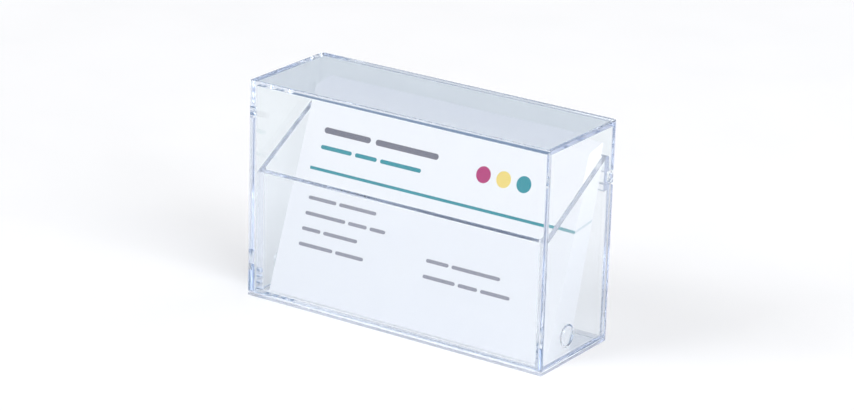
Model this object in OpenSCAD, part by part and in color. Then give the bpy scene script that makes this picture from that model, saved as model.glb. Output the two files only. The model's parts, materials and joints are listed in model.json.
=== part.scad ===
// Clear hinged box for a pack of business cards, in millimetres

/* [Cards] */
// Width of one card
card_w = 85; // [60:0.5:100]
// Height of one card
card_h = 55; // [40:0.5:80]
// Thickness of one card
card_t = 0.28; // [0.1:0.01:0.5]
// Cards standing in the tray
card_count = 20; // [1:1:35]
// Air between two cards where they touch at the top of the pack
card_gap = 0.02; // [0.01:0.01:0.1]
// Extra room between two cards at their feet, which fans the pack
foot_spread = 0.22; // [0:0.01:0.25]
// Distance of the first card's foot from the tray's front wall
foot_gap = 1.4; // [0.2:0.1:3]
// Gap from the pack to the tray's back lip and right wall
pack_gap = 0.2; // [0.1:0.05:0.5]

/* [Box] */
// Room for a card beside its two short edges, left and right together
side_room = 1.6; // [1:0.1:5]
// Room above an upright card
head_room = 2.7; // [1:0.1:6]
// Depth of the tray's pocket, from front wall to back lip
pocket_d = 25.9; // [22:0.1:60]
// Wall of the lid, and of the tray's flush back wall
lid_wall = 1.5; // [1:0.1:2.5]
// Wall of the tray
tray_wall = 1.4; // [1:0.1:2.5]
// Gap between the lid and the tray, all round
fit_gap = 0.3; // [0.2:0.05:0.6]
// Radius of the two upright corners at the back
back_corner_r = 1.4; // [0.2:0.1:1.4]

/* [Tray] */
// Thickness of the rim that the lid stands above
rim_t = 0.8; // [0.8:0.1:3]
// How far the tray's floor stands above the rim
floor_step = 0.4; // [0.4:0.1:2]
// Depth of the recess under the floor
foot_recess = 0.3; // [0.2:0.1:0.8]
// How far the tray's front edge lies below the lid's ceiling
front_drop = 23; // [10:0.1:32]
// How far the tray's back edge lies below the lid's ceiling
back_drop = 7.9; // [5:0.1:10]

/* [Hinge] */
// Diameter of the two hinge pins
pin_d = 1.6; // [1.4:0.1:2.4]
// Radial clearance of a pin in the lid's hole
pin_clear = 0.05; // [0.02:0.01:0.1]
// Wall of the lid around that hole, which the tray's ear matches
ear_wall = 0.8; // [0.6:0.1:1.5]
// How far a pin's end lies inside the lid's outer face
pin_sink = 0.2; // [0:0.05:0.5]
// How far the hinge axis lies below the tray's back edge
hinge_drop = 5.6; // [4:0.1:8]
// Angle at which the lid's back face meets the tray's ledge
open_angle = 112; // [80:1:120]
// Clearance of the lid's back face at that angle
stop_gap = 0.1; // [0.05:0.05:0.5]
// Height of the lid's back wall above the hinge axis
back_lift = 0.8; // [0.5:0.1:1.5]

/* [Closing bumps] */
// Diameter of the bump on each side of the tray
bump_d = 6; // [3:0.1:8]
// Air left between a bump and the lid's side as the lid swings
bump_play = 0.1; // [0.05:0.05:0.15]
// Radial clearance of the bump in its dimple
bump_clear = 0.1; // [0.05:0.05:0.5]
// Depth of the dimple in the lid
dimple_t = 0.9; // [0.2:0.1:1]
// Distance of the bump's centre from the front face
bump_from_front = 12.85; // [8:0.05:20]
// Height of the bump's centre
bump_h = 7; // [6:0.1:20]

/* [Hidden] */
$fn = 64;
// Cutters run past the faces that they cut by this much
over = 1;
// Steepest lean for which the cards' feet keep their gap
lean_limit = 30;
clear_plastic = [0.80, 0.88, 0.96, 0.35];
card_white = [0.97, 0.97, 0.98];

wall_stack = lid_wall + fit_gap + tray_wall;
box_w = card_w + side_room + 2 * wall_stack;
box_d = pocket_d + 2 * wall_stack;
front = -box_d / 2;
back = box_d / 2;
floor_z = rim_t + floor_step;
ceiling_z = floor_z + card_h + head_room;
box_h = ceiling_z + lid_wall;
lid_z = rim_t + fit_gap;

tray_w = box_w - 2 * (lid_wall + fit_gap);
tray_front = front + lid_wall + fit_gap;
tray_back = back - lid_wall - fit_gap;
pocket_w = tray_w - 2 * tray_wall;
pocket_front = tray_front + tray_wall;
pocket_back = tray_back - tray_wall;
flush_wall_front = back - lid_wall;
front_edge_z = ceiling_z - front_drop;
back_edge_z = ceiling_z - back_drop;
rake = (back_edge_z - front_edge_z) / (pocket_back - pocket_front);
front_lip_z = front_edge_z - tray_wall * rake;

pin_hole_r = pin_d / 2 + pin_clear;
ear_r = pin_hole_r + ear_wall;
hinge_y = back - ear_r;
hinge_z = back_edge_z - hinge_drop;
ledge_z = hinge_z - ear_r * tan(open_angle / 2) - stop_gap;
lid_back_z = hinge_z + back_lift;
bump_y = front + bump_from_front;
bump_t = fit_gap - bump_play;

// The pack leans back: the last card rests on the tray's back edge, and its
// neighbours fan forwards until their top edges meet.
foot_pitch = (card_t + card_gap) / cos(lean_limit) + foot_spread;
first_foot_y = pocket_front + foot_gap;
pack_x = (pocket_w - card_w) / 2 - pack_gap;
last_heel_y = foot_y(card_count) + card_t;
lip_reach = pocket_back - last_heel_y;
lip_rise = back_edge_z - floor_z;
last_lean = acos(pack_gap / norm([lip_reach, lip_rise])) - atan2(lip_rise, lip_reach);

function card_name(i) = str("card_", i < 10 ? "0" : "", i);
function foot_y(i) = first_foot_y + (i - 1) * foot_pitch;
function lean(i) =
    i >= card_count ? last_lean : let (behind = lean(i + 1)) behind + lean_step(behind);
function lean_step(a) = asin((foot_pitch * cos(a) - card_t - card_gap) / card_h);

// Plan of the whole box, with its two back corners rounded
module box_plan() {
    translate([-box_w / 2, front])
        square([box_w, box_d - back_corner_r]);
    translate([-box_w / 2 + back_corner_r, front])
        square([box_w - 2 * back_corner_r, box_d]);
    for (side = [-1, 1])
        translate([side * (box_w / 2 - back_corner_r), back - back_corner_r])
            circle(back_corner_r);
}

// A slab from x_low to x_high, whose profile is drawn with Y to the right and Z up
module side_profile(x_low, x_high) {
    translate([x_low, 0, 0])
        rotate([90, 0, 90])
            linear_extrude(x_high - x_low)
                children();
}

// A block from its lowest corner to its highest
module span(low, high) {
    translate(low)
        cube(high - low);
}

// Side wall of the tray: its top edge rises from the front wall to the back lip
module tray_side_profile() {
    polygon([
        [tray_front, rim_t / 2],
        [flush_wall_front + lid_wall / 2, rim_t / 2],
        [flush_wall_front + lid_wall / 2, ledge_z],
        [tray_back, ledge_z],
        [tray_back, back_edge_z],
        [pocket_back, back_edge_z],
        [tray_front, front_lip_z],
    ]);
    translate([hinge_y, hinge_z])
        circle(ear_r);
    translate([pocket_back, hinge_z - ear_r])
        square([hinge_y - pocket_back, 2 * ear_r]);
}

// Front wall of the tray: its top has the slope of the side walls
module tray_front_profile() {
    polygon([
        [tray_front, rim_t / 2],
        [pocket_front, rim_t / 2],
        [pocket_front, front_edge_z],
        [tray_front, front_lip_z],
    ]);
}

module base_tray() {
    color(clear_plastic)
        difference() {
            union() {
                linear_extrude(rim_t)
                    box_plan();
                span(
                    [-tray_w / 2, tray_front, rim_t / 2],
                    [tray_w / 2, flush_wall_front + lid_wall / 2, floor_z]
                );
                for (x = [-tray_w / 2, tray_w / 2 - tray_wall])
                    side_profile(x, x + tray_wall)
                        tray_side_profile();
                side_profile(-tray_w / 2, tray_w / 2)
                    tray_front_profile();
                flush_back_wall();
                span([-tray_w / 2, pocket_back, ledge_z - tray_wall], [tray_w / 2, tray_back, back_edge_z]);
                for (side = [-1, 1])
                    translate([side * tray_w / 2, bump_y, bump_h])
                        rotate([0, 90, 0])
                            cylinder(h = 2 * bump_t, d = bump_d, center = true);
                for (side = [-1, 1])
                    hinge_pin(side);
            }
            translate([0, 0, -over])
                linear_extrude(foot_recess + over)
                    square([pocket_w, pocket_d], center = true);
        }
}

// The tray's back wall stands flush with the box, and its top is a ledge that
// steps in to the lip and stops the open lid.
module flush_back_wall() {
    intersection() {
        linear_extrude(ledge_z)
            box_plan();
        union() {
            span([-box_w / 2, flush_wall_front, 0], [box_w / 2, back, ledge_z]);
            span([-tray_w / 2, pocket_back, ledge_z - tray_wall], [tray_w / 2, back, ledge_z]);
        }
    }
}

// Rear edge of the lid's sides: set in below the hinge, full depth above it
module lid_side_profile() {
    translate([front, lid_z])
        square([tray_back - front, box_h - lid_z]);
    translate([front, hinge_z])
        square([box_d, box_h - hinge_z]);
    translate([hinge_y, hinge_z])
        circle(ear_r);
}

module hinged_lid() {
    color(clear_plastic)
        difference() {
            intersection() {
                translate([0, 0, lid_z])
                    linear_extrude(box_h - lid_z)
                        box_plan();
                side_profile(-box_w / 2, box_w / 2)
                    lid_side_profile();
            }
            span(
                [-box_w / 2 + lid_wall, front + lid_wall, lid_z - over],
                [box_w / 2 - lid_wall, flush_wall_front, ceiling_z]
            );
            span(
                [-box_w / 2 + lid_wall, front + lid_wall, lid_z - over],
                [box_w / 2 - lid_wall, back + over, lid_back_z]
            );
            for (side = [-1, 1])
                ear_notch(side);
            translate([0, hinge_y, hinge_z])
                rotate([0, 90, 0])
                    cylinder(h = box_w + 2 * over, r = pin_hole_r, center = true);
            for (side = [-1, 1])
                translate([side * (box_w / 2 - lid_wall), bump_y, bump_h])
                    rotate([0, 90, 0])
                        cylinder(h = 2 * dimple_t, r = bump_d / 2 + bump_clear, center = true);
        }
}

// Room in the lid's back wall for one ear of the tray
module ear_notch(side) {
    notch_w = tray_wall + 2 * fit_gap;
    translate([side * (tray_w / 2 - tray_wall / 2), hinge_y, hinge_z])
        rotate([0, 90, 0])
            cylinder(h = notch_w, r = ear_r + fit_gap, center = true);
}

// Pin on the outside of one of the tray's ears, in the lid's hole
module hinge_pin(side) {
    root_x = tray_w / 2 - tray_wall / 2;
    tip_x = box_w / 2 - pin_sink;
    translate([side * (root_x + tip_x) / 2, hinge_y, hinge_z])
        rotate([0, 90, 0])
            cylinder(h = tip_x - root_x, d = pin_d, center = true);
}

// One card, which stands on its back lower edge and leans back
module card(i) {
    color(card_white)
        translate([pack_x - card_w / 2, foot_y(i), floor_z + card_t * sin(lean(i))])
            rotate([-lean(i), 0, 0])
                cube([card_w, card_t, card_h]);
}

base_tray();
hinged_lid();
for (i = [1:card_count]) card(i);
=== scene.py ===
"""Clear hinged card box with its pack of cards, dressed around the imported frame."""

import json
import math

import bpy
from mathutils import Matrix, Vector


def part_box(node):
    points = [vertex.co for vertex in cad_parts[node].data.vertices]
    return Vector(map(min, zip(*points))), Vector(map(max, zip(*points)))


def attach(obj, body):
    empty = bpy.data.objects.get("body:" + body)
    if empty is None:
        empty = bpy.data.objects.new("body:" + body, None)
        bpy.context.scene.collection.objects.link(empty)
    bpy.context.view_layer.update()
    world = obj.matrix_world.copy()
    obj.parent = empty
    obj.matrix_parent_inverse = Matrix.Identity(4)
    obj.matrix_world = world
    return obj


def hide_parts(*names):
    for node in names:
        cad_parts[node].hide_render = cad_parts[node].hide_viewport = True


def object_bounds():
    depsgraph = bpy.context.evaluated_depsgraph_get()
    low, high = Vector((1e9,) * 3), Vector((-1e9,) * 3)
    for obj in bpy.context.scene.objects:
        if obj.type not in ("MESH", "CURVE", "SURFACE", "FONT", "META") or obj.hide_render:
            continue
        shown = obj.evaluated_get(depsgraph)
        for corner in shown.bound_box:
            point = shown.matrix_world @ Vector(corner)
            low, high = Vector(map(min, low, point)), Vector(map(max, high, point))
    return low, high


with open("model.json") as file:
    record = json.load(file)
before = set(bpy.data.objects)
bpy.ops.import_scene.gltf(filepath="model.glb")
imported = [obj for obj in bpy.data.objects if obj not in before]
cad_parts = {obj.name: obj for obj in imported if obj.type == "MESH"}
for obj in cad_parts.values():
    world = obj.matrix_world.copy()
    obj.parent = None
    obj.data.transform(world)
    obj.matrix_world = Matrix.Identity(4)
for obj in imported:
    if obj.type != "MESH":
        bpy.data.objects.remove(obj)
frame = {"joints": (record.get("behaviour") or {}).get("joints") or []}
cad_low, cad_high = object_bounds()

MM = 0.001

# Sizes of the two mouldings as the frame has them. The mouldings and the card are
# shaped in millimetres and shrunk to metres when they are done.
HALF_W = cad_high.x / MM
FRONT = cad_low.y / MM
BACK = cad_high.y / MM
TOP = cad_high.z / MM
LID_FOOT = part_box("hinged_lid")[0].z / MM
BACK_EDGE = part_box("base_tray")[1].z / MM
HINGE = Vector(frame["joints"][0]["pos_m"]) / MM

# Walls, the gap between lid and tray, and the upright corners at the back
LID_WALL = 1.5
TRAY_WALL = 1.4
FIT_GAP = 0.3
CORNER_R = 1.4
CEILING = TOP - LID_WALL
# How far above the hinge axis the lid's back wall ends
BACK_LIFT = 0.8
LID_BACK_FOOT = HINGE.z + BACK_LIFT

# Tray: rim, recess under the floor, floor, the front wall's edge at the pocket, ledge at the back
RIM_T = 0.8
RIM_RECESS = 0.3
FLOOR = 1.2
FRONT_EDGE = 35.9
LEDGE = 42.85
TRAY_X = HALF_W - LID_WALL - FIT_GAP
TRAY_FRONT = FRONT + LID_WALL + FIT_GAP
TRAY_BACK = BACK - LID_WALL - FIT_GAP
POCKET_X = TRAY_X - TRAY_WALL
POCKET_FRONT = TRAY_FRONT + TRAY_WALL
POCKET_BACK = TRAY_BACK - TRAY_WALL
FLUSH_WALL = BACK - LID_WALL
# Rise of the side walls' top edges for each millimetre towards the back
RAKE = (BACK_EDGE - FRONT_EDGE) / (POCKET_BACK - POCKET_FRONT)

# Hinge pins and closing bumps
EAR_R = 1.65
PIN_R = 0.8
PIN_HOLE_R = 0.85
PIN_SINK = 0.2
PIN_TIP = HALF_W - PIN_SINK
BUMP_R = 3.0
BUMP_T = 0.2
DIMPLE_R = 3.1
DIMPLE_T = 0.9
BUMP_FROM_FRONT = 12.85
BUMP_Y = FRONT + BUMP_FROM_FRONT
BUMP_Z = 7.0

CARD_W = 85
CARD_H = 55
CARD_T = 0.28
CARD_COUNT = 20

# Rounding of the tray's back lip, of the other moulded edges as a share of it,
# of the small hinge and closing forms, and of a cut card
LIP_EDGE_R = 0.65
EDGE_SHARE = 0.23
PIN_EDGE_R = 0.06
BUMP_EDGE_R = 0.1
DIMPLE_EDGE_R = 0.8
CARD_EDGE_R = 0.03
# Faces across a rounding, across a back corner, across a card's edge and round a bar
ROUND_STEPS = 8
CORNER_STEPS = 12
CARD_EDGE_STEPS = 2
BAR_SIDES = 64
# Edges that turn by more than this are rounded, or stay sharp in the shading
SHARP = math.radians(40)
# Faces that turn by less than this lie in one plane
FLAT = math.radians(0.5)
# A face looks along an axis when its normal has this much of it
FACING = 0.9
# Cutting blocks run past the faces that they cut by this much
OVER = 3
# Joined forms keep this far inside a face that they would share
NIP = 0.02
# Two lengths are the same within this
SAME = 1e-3
# Points closer than this are one point
DOUBLED = 1e-4


# Workbench: what a hand would do with each operator


def put_down():
    """Leaves edit mode with nothing selected."""
    if bpy.context.object and bpy.context.object.mode != "OBJECT":
        bpy.ops.object.mode_set(mode="OBJECT")
    bpy.ops.object.select_all(action="DESELECT")


def take_up(piece):
    """Selects one piece alone and makes it active."""
    put_down()
    piece.select_set(True)
    bpy.context.view_layer.objects.active = piece


def settle(name):
    """Names the new piece and moves its place into its mesh."""
    piece = bpy.context.object
    piece.name = name
    bpy.ops.object.transform_apply(location=True, rotation=True, scale=True)
    return piece


def block(name, low, high):
    """A block between two corners."""
    put_down()
    low = Vector(low)
    high = Vector(high)
    bpy.ops.mesh.primitive_cube_add(size=1, location=(low + high) / 2, scale=high - low)
    return settle(name)


def bar(name, x_low, x_high, y, z, radius):
    """A round bar along X."""
    put_down()
    bpy.ops.mesh.primitive_cylinder_add(
        vertices=BAR_SIDES,
        radius=radius,
        depth=x_high - x_low,
        location=((x_low + x_high) / 2, y, z),
        rotation=(0, math.pi / 2, 0),
    )
    return settle(name)


def small_bar(name, x_root, x_tip, y, z, radius, edge_r):
    """A round bar along X with a rounded rim at its tip."""
    made = bar(name, min(x_root, x_tip), max(x_root, x_tip), y, z, radius)
    pick_edges(made, lambda a, b: near(a.x, x_tip) and near(b.x, x_tip))
    bpy.ops.mesh.bevel(offset=edge_r, segments=ROUND_STEPS, affect="EDGES")
    put_down()
    return made


def pick_faces(piece, wanted):
    """Opens a piece for editing with those faces selected whose centre and normal are wanted."""
    take_up(piece)
    bpy.ops.object.mode_set(mode="EDIT")
    bpy.ops.mesh.select_mode(type="FACE")
    bpy.ops.mesh.select_all(action="DESELECT")
    bpy.ops.object.mode_set(mode="OBJECT")
    for face in piece.data.polygons:
        face.select = wanted(face.center, face.normal)
    bpy.ops.object.mode_set(mode="EDIT")


def pick_edges(piece, wanted):
    """Opens a piece for editing with those edges selected whose two ends are wanted."""
    take_up(piece)
    bpy.ops.object.mode_set(mode="EDIT")
    bpy.ops.mesh.select_mode(type="EDGE")
    bpy.ops.mesh.select_all(action="DESELECT")
    bpy.ops.object.mode_set(mode="OBJECT")
    points = piece.data.vertices
    for edge in piece.data.edges:
        edge.select = wanted(points[edge.vertices[0]].co, points[edge.vertices[1]].co)
    bpy.ops.object.mode_set(mode="EDIT")


def pick_all(piece):
    """Opens a piece for editing with everything selected."""
    take_up(piece)
    bpy.ops.object.mode_set(mode="EDIT")
    bpy.ops.mesh.select_all(action="SELECT")


def pull_out(x, y, z):
    """Extrudes the selected faces and moves them."""
    bpy.ops.mesh.extrude_region_move(TRANSFORM_OT_translate={"value": (x, y, z)})


def near(a, b):
    """True where two lengths are the same."""
    return abs(a - b) < SAME


def combine(piece, tool, how):
    """Cuts a piece with a tool, or joins the tool to it, and puts the tool away."""
    take_up(piece)
    change = piece.modifiers.new("shape", "BOOLEAN")
    change.operation = how
    change.solver = "EXACT"
    change.object = tool
    bpy.ops.object.modifier_apply(modifier=change.name)
    bpy.data.objects.remove(tool)


def clean_faces(piece):
    """Merges doubled points and joins the faces that lie in one plane."""
    pick_all(piece)
    bpy.ops.mesh.remove_doubles(threshold=DOUBLED)
    bpy.ops.mesh.dissolve_limited(angle_limit=FLAT)
    bpy.ops.object.mode_set(mode="OBJECT")


def round_edges(piece, share_of):
    """Rounds the sharp edges, each by its own share of the largest radius."""
    take_up(piece)
    bpy.ops.object.mode_set(mode="EDIT")
    bpy.ops.mesh.select_mode(type="EDGE")
    bpy.ops.mesh.select_all(action="DESELECT")
    bpy.ops.mesh.edges_select_sharp(sharpness=SHARP)
    bpy.ops.object.mode_set(mode="OBJECT")
    points = piece.data.vertices
    shares = piece.data.attributes.new("bevel_weight_edge", "FLOAT", "EDGE")
    for edge in piece.data.edges:
        a, b = (points[i].co for i in edge.vertices)
        shares.data[edge.index].value = share_of(a, b) if edge.select else 0
    rounding = piece.modifiers.new("rounding", "BEVEL")
    rounding.width = LIP_EDGE_R
    rounding.segments = ROUND_STEPS
    rounding.limit_method = "WEIGHT"
    rounding.use_clamp_overlap = False
    bpy.ops.object.modifier_apply(modifier=rounding.name)


def even_shading(piece):
    """Smooths the roundings and keeps the large faces flat."""
    take_up(piece)
    bpy.ops.object.shade_smooth_by_angle(angle=SHARP)
    weighting = piece.modifiers.new("weighting", "WEIGHTED_NORMAL")
    weighting.mode = "FACE_AREA"
    weighting.weight = 100
    weighting.keep_sharp = True
    bpy.ops.object.modifier_apply(modifier=weighting.name)


def to_metres(piece):
    """Shrinks a piece that was shaped in millimetres."""
    take_up(piece)
    piece.scale = (MM, MM, MM)
    bpy.ops.object.transform_apply(location=True, rotation=True, scale=True)


def at_back_corner(point):
    """True on one of the two upright edges at the back of the box."""
    return near(point.y, BACK) and near(abs(point.x), HALF_W)


def round_back_corners(piece):
    """Rounds the two upright edges at the back of the box."""
    pick_edges(piece, lambda a, b: at_back_corner(a) and at_back_corner(b) and near(a.x, b.x))
    bpy.ops.mesh.bevel(offset=CORNER_R, segments=CORNER_STEPS, affect="EDGES")
    put_down()


# Lid: a hood over the whole tray, open below and at the lower back


def hinge_eye(side):
    """The round end of the lid's side at the hinge, trimmed to the rounded back corner."""
    x_a, x_b = sorted((side * (HALF_W - LID_WALL + NIP), side * (HALF_W - NIP)))
    eye = bar("eye", x_a, x_b, HINGE.y, HINGE.z, EAR_R)
    root = block("eye_root", (x_a, TRAY_BACK, HINGE.z), (x_b, BACK, LID_BACK_FOOT + FIT_GAP))
    combine(eye, root, "UNION")
    plan = block("plan", (-HALF_W, FRONT, 0), (HALF_W, BACK, TOP))
    round_back_corners(plan)
    take_up(plan)
    plan.scale = (1 - NIP / HALF_W, 1 - NIP / BACK, 1)
    bpy.ops.object.transform_apply(scale=True)
    combine(eye, plan, "INTERSECT")
    return eye


def ear_notch(side):
    """Room in the lid's back wall for one ear of the tray."""
    middle = side * (TRAY_X - TRAY_WALL / 2)
    half = TRAY_WALL / 2 + FIT_GAP - NIP
    return bar("notch", middle - half, middle + half, HINGE.y, HINGE.z, EAR_R + FIT_GAP)


def dimple_cutter(side):
    """The round dimple inside one of the lid's sides."""
    inner_x = HALF_W - LID_WALL
    return small_bar(
        "dimple",
        side * (inner_x - OVER),
        side * (inner_x + DIMPLE_T),
        BUMP_Y,
        BUMP_Z,
        DIMPLE_R,
        DIMPLE_EDGE_R,
    )


def mould_lid():
    """The lid in one piece: hood, hinge eyes, notches, dimples and the bore for the pins."""
    lid = block("lid", (-HALF_W, FRONT, LID_FOOT), (HALF_W, BACK, TOP))
    pick_faces(lid, lambda centre, normal: normal.z < -FACING)
    bpy.ops.mesh.inset(thickness=LID_WALL)
    pull_out(0, 0, CEILING - LID_FOOT)
    round_back_corners(lid)
    opening = block(
        "opening",
        (-HALF_W - OVER, TRAY_BACK, -OVER),
        (HALF_W + OVER, BACK + OVER, LID_BACK_FOOT),
    )
    combine(lid, opening, "DIFFERENCE")
    clean_faces(lid)
    round_edges(lid, lambda a, b: EDGE_SHARE)
    for side in (-1, 1):
        combine(lid, hinge_eye(side), "UNION")
        combine(lid, ear_notch(side), "DIFFERENCE")
        combine(lid, dimple_cutter(side), "DIFFERENCE")
    pin_bore = bar("pin_bore", -HALF_W - OVER, HALF_W + OVER, HINGE.y, HINGE.z, PIN_HOLE_R)
    combine(lid, pin_bore, "DIFFERENCE")
    to_metres(lid)
    even_shading(lid)
    return lid


# Tray: rim plate, raked walls, flush back wall with its ledge and lip, ears, pins and bumps


def rake_cutter():
    """What is cut away over the tray: it rises from the front wall to the lip."""
    over = block(
        "rake",
        (-TRAY_X - OVER, POCKET_FRONT, FRONT_EDGE),
        (TRAY_X + OVER, POCKET_BACK, TOP),
    )
    pick_edges(over, lambda a, b: all(near(p.y, POCKET_BACK) and near(p.z, FRONT_EDGE) for p in (a, b)))
    bpy.ops.transform.translate(value=(0, 0, BACK_EDGE - FRONT_EDGE))
    pick_faces(over, lambda centre, normal: normal.y < -FACING)
    pull_out(0, -OVER, -OVER * RAKE)
    put_down()
    return over


def pocket_cutter():
    """The tray's pocket, which runs back under the lip as far as the flush wall."""
    under_lip = LEDGE - TRAY_WALL
    pocket = block("pocket", (-POCKET_X, POCKET_FRONT, FLOOR), (POCKET_X, POCKET_BACK, TOP))
    pick_all(pocket)
    bpy.ops.mesh.bisect(plane_co=(0, 0, under_lip), plane_no=(0, 0, 1))
    pick_faces(pocket, lambda centre, normal: normal.y > FACING and centre.z < under_lip)
    pull_out(0, FLUSH_WALL - POCKET_BACK, 0)
    put_down()
    return pocket


def surround_cutter():
    """What is cut away round the tray's walls, down to the rim and back to the flush wall."""
    around = block(
        "around",
        (-HALF_W - OVER, FRONT - OVER, RIM_T),
        (HALF_W + OVER, FLUSH_WALL, TOP),
    )
    kept = block("kept", (-TRAY_X, TRAY_FRONT, -OVER), (TRAY_X, BACK, TOP + OVER))
    combine(around, kept, "DIFFERENCE")
    return around


def at_pocket_corner(point):
    """True on one of the two upright edges at the front of the pocket."""
    inside = near(abs(point.x), POCKET_X) and near(point.y, POCKET_FRONT)
    return inside and point.z > RIM_RECESS + NIP


def tray_rounding(a, b):
    """How round an edge of the tray is.

    Full along the lip and in the pocket's front corners, none where the flush wall is thin.
    """
    thin = near(a.y, FLUSH_WALL) and near(b.y, FLUSH_WALL)
    if thin and min(abs(a.x), abs(b.x)) > TRAY_X - NIP:
        return 0
    lip = near(a.z, BACK_EDGE) and near(b.z, BACK_EDGE)
    pocket_corner = at_pocket_corner(a) and at_pocket_corner(b)
    return 1 if lip or pocket_corner else EDGE_SHARE


def hinge_ear(side):
    """One ear of the tray, with its root in the lip."""
    x_a, x_b = sorted((side * (POCKET_X + NIP), side * (TRAY_X - NIP)))
    ear = bar("ear", x_a, x_b, HINGE.y, HINGE.z, EAR_R)
    root = block(
        "ear_root",
        (x_a, POCKET_BACK + NIP, HINGE.z - EAR_R),
        (x_b, HINGE.y, HINGE.z + EAR_R),
    )
    combine(ear, root, "UNION")
    return ear


def mould_tray():
    """The tray in one piece: rim, pocket, raked walls, back wall, ears, pins and bumps."""
    tray = block("tray", (-HALF_W, FRONT, 0), (HALF_W, BACK, BACK_EDGE))
    pick_faces(tray, lambda centre, normal: normal.z < -FACING)
    bpy.ops.mesh.inset(thickness=HALF_W - POCKET_X)
    pull_out(0, 0, RIM_RECESS)
    round_back_corners(tray)
    combine(tray, surround_cutter(), "DIFFERENCE")
    behind_lip = block(
        "behind_lip",
        (-HALF_W - OVER, TRAY_BACK, LEDGE),
        (HALF_W + OVER, BACK + OVER, TOP),
    )
    combine(tray, behind_lip, "DIFFERENCE")
    combine(tray, pocket_cutter(), "DIFFERENCE")
    combine(tray, rake_cutter(), "DIFFERENCE")
    clean_faces(tray)
    round_edges(tray, tray_rounding)
    for side in (-1, 1):
        combine(tray, hinge_ear(side), "UNION")
        root = side * (TRAY_X - TRAY_WALL / 2)
        pin = small_bar("pin", root, side * PIN_TIP, HINGE.y, HINGE.z, PIN_R, PIN_EDGE_R)
        combine(tray, pin, "UNION")
        bump_tip = side * (TRAY_X + BUMP_T)
        bump = small_bar("bump", root, bump_tip, BUMP_Y, BUMP_Z, BUMP_R, BUMP_EDGE_R)
        combine(tray, bump, "UNION")
    to_metres(tray)
    even_shading(tray)
    return tray


# Cards: one cut and printed, the others copied from it

# A spot of the print that is bare, for the card's edges and back
BARE_SPOT = (0.02, 0.98)


def cut_card():
    """One upright card with its front lower left corner at the origin and its print laid out on UV."""
    card = block("card", (0, 0, 0), (CARD_W, CARD_T, CARD_H))
    pick_all(card)
    bpy.ops.mesh.bevel(offset=CARD_EDGE_R, segments=CARD_EDGE_STEPS, affect="EDGES")
    put_down()
    layout = card.data.uv_layers[0]
    layout.name = "print"
    for face in card.data.polygons:
        printed = face.normal.y < -FACING
        for corner in face.loop_indices:
            place = card.data.vertices[card.data.loops[corner].vertex_index].co
            spot = (place.x / CARD_W, place.z / CARD_H)
            layout.data[corner].uv = spot if printed else BARE_SPOT
    to_metres(card)
    return card


def stand_card(pattern, number):
    """A copy of the card, leaning where the frame has it."""
    node = f"card_{number:02d}"
    low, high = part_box(node)
    reach = high - low
    lean = math.atan2(
        reach.y * CARD_H - reach.z * CARD_T,
        reach.z * CARD_H - reach.y * CARD_T,
    )
    card = pattern.copy()
    card.data = pattern.data.copy()
    card.name = f"printed_{node}"
    bpy.context.scene.collection.objects.link(card)
    card.location = (low.x, low.y, low.z + CARD_T * MM * math.sin(lean))
    card.rotation_euler = (-lean, 0, 0)
    take_up(card)
    bpy.ops.object.transform_apply(location=True, rotation=True, scale=True)
    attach(card, "base")
    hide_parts(node)
    return card


# Finishes


class Nodes:
    """A material's node tree, with short ways to add nodes and links."""

    def __init__(self, tree):
        self.tree = tree
        self.tree.nodes.clear()

    def add(self, kind, **settings):
        node = self.tree.nodes.new(kind)
        for key, value in settings.items():
            setattr(node, key, value)
        return node

    def link(self, source, target):
        self.tree.links.new(source, target)

    def fill(self, socket, value):
        """Links an output, or sets a plain value."""
        if isinstance(value, bpy.types.NodeSocket):
            self.link(value, socket)
        else:
            socket.default_value = value

    def math(self, operation, a, b=0.0):
        node = self.add("ShaderNodeMath", operation=operation)
        self.fill(node.inputs[0], a)
        self.fill(node.inputs[1], b)
        return node.outputs[0]

    def off(self, value, middle):
        """Distance of a value from a middle."""
        return self.math("ABSOLUTE", self.math("SUBTRACT", value, middle))

    def split(self, vector):
        """The X, Y and Z of a vector."""
        node = self.add("ShaderNodeSeparateXYZ")
        self.link(vector, node.inputs[0])
        return node.outputs

    def noise(self, where, scale, detail):
        node = self.add("ShaderNodeTexNoise")
        self.link(where, node.inputs["Vector"])
        node.inputs["Scale"].default_value = scale
        node.inputs["Detail"].default_value = detail
        return node.outputs["Fac"]

    def spread(self, value, low, high, from_low=0.3, from_high=0.7):
        """Stretches the middle of a noise, or another span, to run from low to high."""
        node = self.add("ShaderNodeMapRange")
        self.link(value, node.inputs["Value"])
        node.inputs["From Min"].default_value = from_low
        node.inputs["From Max"].default_value = from_high
        node.inputs["To Min"].default_value = low
        node.inputs["To Max"].default_value = high
        return node.outputs["Result"]

    def blend(self, share, a, b):
        """Mixes two colours, which are the node's seventh and eighth inputs."""
        node = self.add("ShaderNodeMix", data_type="RGBA")
        self.fill(node.inputs[0], share)
        self.fill(node.inputs[6], a)
        self.fill(node.inputs[7], b)
        return node.outputs[2]

    def bump(self, height, strength, distance, shader):
        """Raises a shader's surface by a height."""
        node = self.add("ShaderNodeBump")
        node.inputs["Strength"].default_value = strength
        node.inputs["Distance"].default_value = distance
        self.link(height, node.inputs["Height"])
        self.link(node.outputs["Normal"], shader.inputs["Normal"])

    def seen(self):
        """1 for what the camera sees, itself or through and in the clear plastic."""
        rays = self.add("ShaderNodeLightPath")
        mirrored = self.math("MAXIMUM", rays.outputs["Is Camera Ray"], rays.outputs["Is Glossy Ray"])
        return self.math("MAXIMUM", mirrored, rays.outputs["Is Transmission Ray"])

    def finish(self, surface, kind="ShaderNodeOutputMaterial"):
        """Links a shader to a new output, and returns the output."""
        out = self.add(kind)
        self.link(surface, out.inputs["Surface"])
        return out


def material(name):
    """A new material and its empty node tree."""
    made = bpy.data.materials.new(name)
    made.use_nodes = True
    return made, Nodes(made.node_tree)


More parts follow.
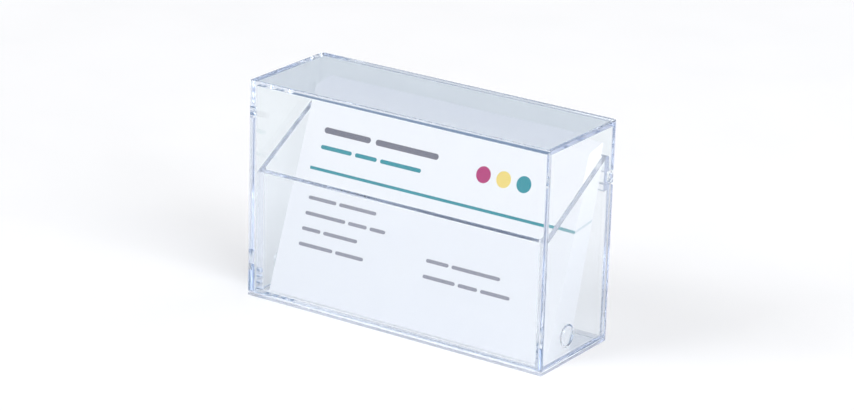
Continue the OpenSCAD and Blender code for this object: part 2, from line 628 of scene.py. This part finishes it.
# Clear plastic: colour of the faces, and how deep the blue of the edges is. Lid and tray are one plastic
# with a faint cool colour. The lid's colour is darkened as painted shade over what is seen through it. The
# tray's colour is kept nearly clear as painted light that keeps the cards behind two walls bright.
LID_TINT_AND_SHADE = (0.93, 0.955, 0.965, 1)
TRAY_TINT_AND_LIGHT = (0.99, 0.992, 0.998, 1)
LID_DEPTH = 5
TRAY_DEPTH = 6
EDGE_BLUE = (0.11, 0.27, 0.64, 1)
PLASTIC_IOR = 1.49
SHADOW_TINT = (0.985, 0.988, 0.992, 1)
# Height of the ripples in the moulded faces and of the card's fibre, in metres
RIPPLE_T = 0.00002
FIBRE_T = 0.00002
# Roughness where the tray stands and on its raked edges, and how far from these it reaches, in millimetres
FOOT_SCUFF = 0.4
FOOT_BAND = 0.1
RAKE_MATT = 0.25
RAKE_BAND = 0.2


def polished(n, where):
    """Roughness of the lid: bright, with a trace of wear."""
    return n.spread(n.noise(where, scale=240, detail=3), low=0.0, high=0.006)


def part_worn(n, where):
    """Roughness of the tray: bright, but matt on its raked edges and scuffed where it stands."""
    x, y, z = n.split(where)
    foot = n.math("LESS_THAN", z, FOOT_BAND * MM)
    slope = n.math("SUBTRACT", z, n.math("MULTIPLY", y, RAKE))
    off_rake = n.off(slope, (FRONT_EDGE - RAKE * POCKET_FRONT) * MM)
    on_rake = n.math("LESS_THAN", off_rake, RAKE_BAND * MM)
    on_side = n.math("GREATER_THAN", n.math("ABSOLUTE", x), (POCKET_X + NIP) * MM)
    matt = n.math("MULTIPLY", n.math("MULTIPLY", on_rake, on_side), RAKE_MATT)
    worn = n.math("MAXIMUM", n.math("MULTIPLY", foot, FOOT_SCUFF), matt)
    return n.math("MAXIMUM", polished(n, where), worn)


def clear_plastic(name, tint_and_shading, edge_depth, roughness):
    """Clear moulded plastic: a faint cool colour that also carries painted shade on the lid and painted
    light on the tray, blue along the edges, a slight ripple in the faces.
    """
    made, n = material(name)
    where = n.add("ShaderNodeTexCoord").outputs["Object"]
    body = n.add("ShaderNodeBsdfPrincipled")
    # The base colour is the plastic's faint colour with painted shade for the lid and painted light for
    # the tray
    body.inputs["Base Color"].default_value = tint_and_shading
    body.inputs["Transmission Weight"].default_value = 1
    body.inputs["IOR"].default_value = PLASTIC_IOR
    n.link(roughness(n, where), body.inputs["Roughness"])
    n.bump(n.noise(where, scale=110, detail=2), 0.03, RIPPLE_T, body)
    rays = n.add("ShaderNodeLightPath")
    through = n.add("ShaderNodeBsdfTransparent")
    through.inputs["Color"].default_value = SHADOW_TINT
    lamps = n.add("ShaderNodeMixShader")
    n.link(rays.outputs["Is Shadow Ray"], lamps.inputs["Fac"])
    n.link(body.outputs[0], lamps.inputs[1])
    n.link(through.outputs[0], lamps.inputs[2])
    glow = n.add("ShaderNodeMixShader")
    n.link(rays.outputs["Is Diffuse Ray"], glow.inputs["Fac"])
    n.link(lamps.outputs[0], glow.inputs[1])
    n.link(through.outputs[0], glow.inputs[2])
    depth = n.add("ShaderNodeVolumeAbsorption")
    depth.inputs["Color"].default_value = EDGE_BLUE
    depth.inputs["Density"].default_value = edge_depth
    out = n.finish(glow.outputs[0])
    n.link(depth.outputs[0], out.inputs["Volume"])
    return made


# Card stock and inks
PAPER_LOW = (0.905, 0.91, 0.94, 1)
PAPER_HIGH = (0.94, 0.945, 0.965, 1)
PAPER_CLOUD = (0.90, 0.905, 0.95, 1)
SLATE = (0.17, 0.17, 0.22, 1)
GREY = (0.25, 0.25, 0.31, 1)
TEAL = (0.001, 0.28, 0.34, 1)
MAGENTA = (0.46, 0.008, 0.16, 1)
YELLOW = (0.90, 0.70, 0.19, 1)

# Printed layout, in millimetres from the card's lower left corner: left ends of the two
# columns, the rule's middle and half size, each line's height and bars, and three dots
LEFT_COLUMN = 6.0
RIGHT_COLUMN = 46.0
RULE_MIDDLE = (44.5, 34.6)
RULE_HALF = (40.5, 0.4)
HEADING_V = 45.2
HEADING_H = 1.6
HEADING_BARS = (15, 20)
TAGLINE_V = 40.6
TAGLINE_H = 1.1
TAGLINE_BARS = (10, 7, 13)
LINE_H = 0.95
LINE_STEP = 4.2
LEFT_LINES_V = 27.0
LEFT_LINES = ((9, 12), (13, 6, 5), (6, 11), (11, 9))
RIGHT_LINES_V = 18.6
RIGHT_LINES = ((7, 15), (10, 6, 9))
DOT_R = 2.2
DOT_STEP = 6.2
FIRST_DOT = (57.0, 43.6)


def rule_mask(n, u, v):
    """1 on the printed rule."""
    across = n.math("SUBTRACT", n.off(u, RULE_MIDDLE[0]), RULE_HALF[0])
    up = n.math("SUBTRACT", n.off(v, RULE_MIDDLE[1]), RULE_HALF[1])
    return n.math("LESS_THAN", n.math("MAXIMUM", across, up), 0.0)


def bar_mask(n, u, v, left, middle_v, length, height):
    """1 inside one printed bar with round ends."""
    radius = height / 2
    straight = length / 2 - radius
    past = n.math("MAXIMUM", n.math("SUBTRACT", n.off(u, left + length / 2), straight), 0.0)
    up = n.math("SUBTRACT", v, middle_v)
    reach = n.math("ADD", n.math("POWER", past, 2.0), n.math("POWER", up, 2.0))
    return n.math("LESS_THAN", reach, radius * radius)


def line_mask(n, u, v, left, middle_v, height, lengths):
    """1 inside a printed line of bars, one beside the other."""
    line = None
    for length in lengths:
        here = bar_mask(n, u, v, left, middle_v, length, height)
        line = n.math("MAXIMUM", line, here) if line else here
        left += length + height
    return line


def dot_mask(n, u, v, middle):
    """1 inside a printed dot."""
    across = n.math("POWER", n.math("SUBTRACT", u, middle[0]), 2.0)
    up = n.math("POWER", n.math("SUBTRACT", v, middle[1]), 2.0)
    return n.math("LESS_THAN", n.math("ADD", across, up), DOT_R * DOT_R)


def print_layout(n, u, v, paper):
    """The printed colour: rule, heading, tagline, two columns of lines and three dots on the paper."""
    ink = n.blend(rule_mask(n, u, v), paper, TEAL)
    heading = line_mask(n, u, v, LEFT_COLUMN, HEADING_V, HEADING_H, HEADING_BARS)
    ink = n.blend(heading, ink, SLATE)
    tagline = line_mask(n, u, v, LEFT_COLUMN, TAGLINE_V, TAGLINE_H, TAGLINE_BARS)
    ink = n.blend(tagline, ink, TEAL)
    columns = (
        (LEFT_COLUMN, LEFT_LINES_V, LEFT_LINES),
        (RIGHT_COLUMN, RIGHT_LINES_V, RIGHT_LINES),
    )
    for left, top, lines in columns:
        for row, lengths in enumerate(lines):
            line = line_mask(n, u, v, left, top - LINE_STEP * row, LINE_H, lengths)
            ink = n.blend(line, ink, GREY)
    for place, colour in enumerate((MAGENTA, YELLOW, TEAL)):
        middle = (FIRST_DOT[0] + DOT_STEP * place, FIRST_DOT[1])
        ink = n.blend(dot_mask(n, u, v, middle), ink, colour)
    return ink


def card_stock():
    """Smooth white card with a fine fibre and a plain printed layout of bars, a rule and three dots."""
    made, n = material("card_stock")
    where = n.add("ShaderNodeTexCoord")
    across, up, _ = n.split(where.outputs["UV"])
    u = n.math("MULTIPLY", across, CARD_W)
    v = n.math("MULTIPLY", up, CARD_H)
    fibre = n.noise(where.outputs["Object"], scale=2600, detail=4)
    cloud = n.noise(where.outputs["Object"], scale=90, detail=2)
    white = n.blend(n.spread(fibre, low=0.0, high=1.0), PAPER_LOW, PAPER_HIGH)
    white = n.blend(n.spread(cloud, low=0.0, high=0.3), white, PAPER_CLOUD)
    paper = n.add("ShaderNodeBsdfPrincipled")
    n.link(print_layout(n, u, v, white), paper.inputs["Base Color"])
    n.link(n.spread(fibre, low=0.48, high=0.62), paper.inputs["Roughness"])
    paper.inputs["Specular IOR Level"].default_value = 0.15
    n.bump(fibre, 0.15, FIBRE_T, paper)
    n.finish(paper.outputs[0])
    return made


# Stage: the table top, the room, the lamps and the camera

TABLE_SIZE = 8
TABLE_GAP = 0.1 * MM
TABLE_LOW = (0.86, 0.865, 0.875, 1)
TABLE_HIGH = (0.88, 0.885, 0.895, 1)
# How much brighter than it is lit the table is seen
TABLE_LIFT = 0.13

EVEN_LIGHT = (0.45, 0.45, 0.46, 1)
ROOM_WHITE = (1, 1, 1, 1)
ROOM_CEILING = (0.15, 0.25, 0.41, 1)
# The room turns from white to its ceiling colour between these slopes of the line of sight
WALL_FOOT = 0.03
WALL_TOP = 0.34
# What the lamps point at, in metres
LAMP_AIM = (0, 0, 0.03)

# The photograph's view: a long lens from the front right, a little above. Angles are in degrees,
# the distance from the middle of the box in metres, and the lens and its shift in pixels.
AZIMUTH = 33.5666
ELEVATION = 19.6231
ROLL = 1.7096
DISTANCE = 0.856706
FOCAL_PX = 3275.89
SHIFT_PX = (-1.3845, 4.2436)
IMAGE_W = 854
SENSOR_W = 36

# Light runs far inside clear walls before it leaves them
BOUNCES = 64


def white_table():
    """Plain white table top: the camera and the clear plastic see it a little brighter than it is lit."""
    made, n = material("white_table")
    where = n.add("ShaderNodeTexCoord").outputs["Object"]
    top = n.add("ShaderNodeBsdfDiffuse")
    grain = n.spread(n.noise(where, scale=30, detail=3), low=0.0, high=1.0)
    n.link(n.blend(grain, TABLE_LOW, TABLE_HIGH), top.inputs["Color"])
    lift = n.add("ShaderNodeEmission")
    n.link(n.math("MULTIPLY", n.seen(), TABLE_LIFT), lift.inputs["Strength"])
    both = n.add("ShaderNodeAddShader")
    n.link(top.outputs[0], both.inputs[0])
    n.link(lift.outputs[0], both.inputs[1])
    n.finish(both.outputs[0])
    return made


def lay_table():
    """A wide table top just under the box."""
    put_down()
    bpy.ops.mesh.primitive_plane_add(size=TABLE_SIZE, location=(0, 0, -TABLE_GAP))
    table = settle("table")
    table.data.materials.append(white_table())


def studio_light():
    """Even light all round. What is seen of the room is a white horizon under a cooler, darker ceiling."""
    world = bpy.data.worlds.new("studio")
    bpy.context.scene.world = world
    world.use_nodes = True
    n = Nodes(world.node_tree)
    direction = n.add("ShaderNodeTexCoord").outputs["Generated"]
    rise = n.split(direction)["Z"]
    height = n.spread(rise, 0.0, 1.0, WALL_FOOT, WALL_TOP)
    room = n.blend(height, ROOM_WHITE, ROOM_CEILING)
    back = n.add("ShaderNodeBackground")
    n.link(n.blend(n.seen(), EVEN_LIGHT, room), back.inputs["Color"])
    n.finish(back.outputs[0], "ShaderNodeOutputWorld")


def soft_lamp(name, place, size, watts):
    """A large area lamp that points at the box."""
    put_down()
    bpy.ops.object.light_add(type="AREA", location=place)
    lamp = bpy.context.object
    lamp.name = name
    lamp.data.shape = "RECTANGLE"
    lamp.data.size, lamp.data.size_y = size
    lamp.data.energy = watts
    lamp.rotation_euler = (Vector(LAMP_AIM) - Vector(place)).to_track_quat("-Z", "Y").to_euler()


def place_camera():
    """The camera at the photograph's view."""
    azimuth, elevation, roll = (math.radians(angle) for angle in (AZIMUTH, ELEVATION, ROLL))
    back = Vector(
        (
            math.sin(azimuth) * math.cos(elevation),
            -math.cos(azimuth) * math.cos(elevation),
            math.sin(elevation),
        )
    )
    level = Vector((math.cos(azimuth), math.sin(azimuth), 0))
    upright = back.cross(level)
    right = level * math.cos(roll) + upright * math.sin(roll)
    up = upright * math.cos(roll) - level * math.sin(roll)
    stand = Vector((0, 0, cad_high.z / 2)) + back * DISTANCE
    bpy.ops.object.camera_add()
    camera = bpy.context.object
    camera.matrix_world = Matrix(
        (
            (right.x, up.x, back.x, stand.x),
            (right.y, up.y, back.y, stand.y),
            (right.z, up.z, back.z, stand.z),
            (0, 0, 0, 1),
        )
    )
    camera.data.sensor_width = SENSOR_W
    camera.data.lens = FOCAL_PX / IMAGE_W * SENSOR_W
    camera.data.shift_x = SHIFT_PX[0] / IMAGE_W
    camera.data.shift_y = SHIFT_PX[1] / IMAGE_W
    bpy.context.scene.camera = camera


scene = bpy.context.scene
scene.view_settings.view_transform = "Standard"
scene.cycles.max_bounces = BOUNCES
scene.cycles.glossy_bounces = BOUNCES
scene.cycles.transmission_bounces = BOUNCES
scene.cycles.transparent_max_bounces = BOUNCES

put_down()
place_camera()
lay_table()
studio_light()
soft_lamp("key", place=(2.35, -0.35, 1.15), size=(1.6, 1.6), watts=54)
soft_lamp("fill", place=(-1.55, -1.6, 1.45), size=(1.6, 1.2), watts=30)
soft_lamp("back", place=(1.2, 2.0, 1.7), size=(1.2, 1.2), watts=8)

lid = mould_lid()
lid.data.materials.append(clear_plastic("lid_plastic", LID_TINT_AND_SHADE, LID_DEPTH, polished))
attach(lid, "lid")
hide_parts("hinged_lid")

tray = mould_tray()
tray.data.materials.append(clear_plastic("tray_plastic", TRAY_TINT_AND_LIGHT, TRAY_DEPTH, part_worn))
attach(tray, "base")
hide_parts("base_tray")

pattern = cut_card()
pattern.data.materials.append(card_stock())
for number in range(1, CARD_COUNT + 1):
    stand_card(pattern, number)
bpy.data.objects.remove(pattern)
put_down()
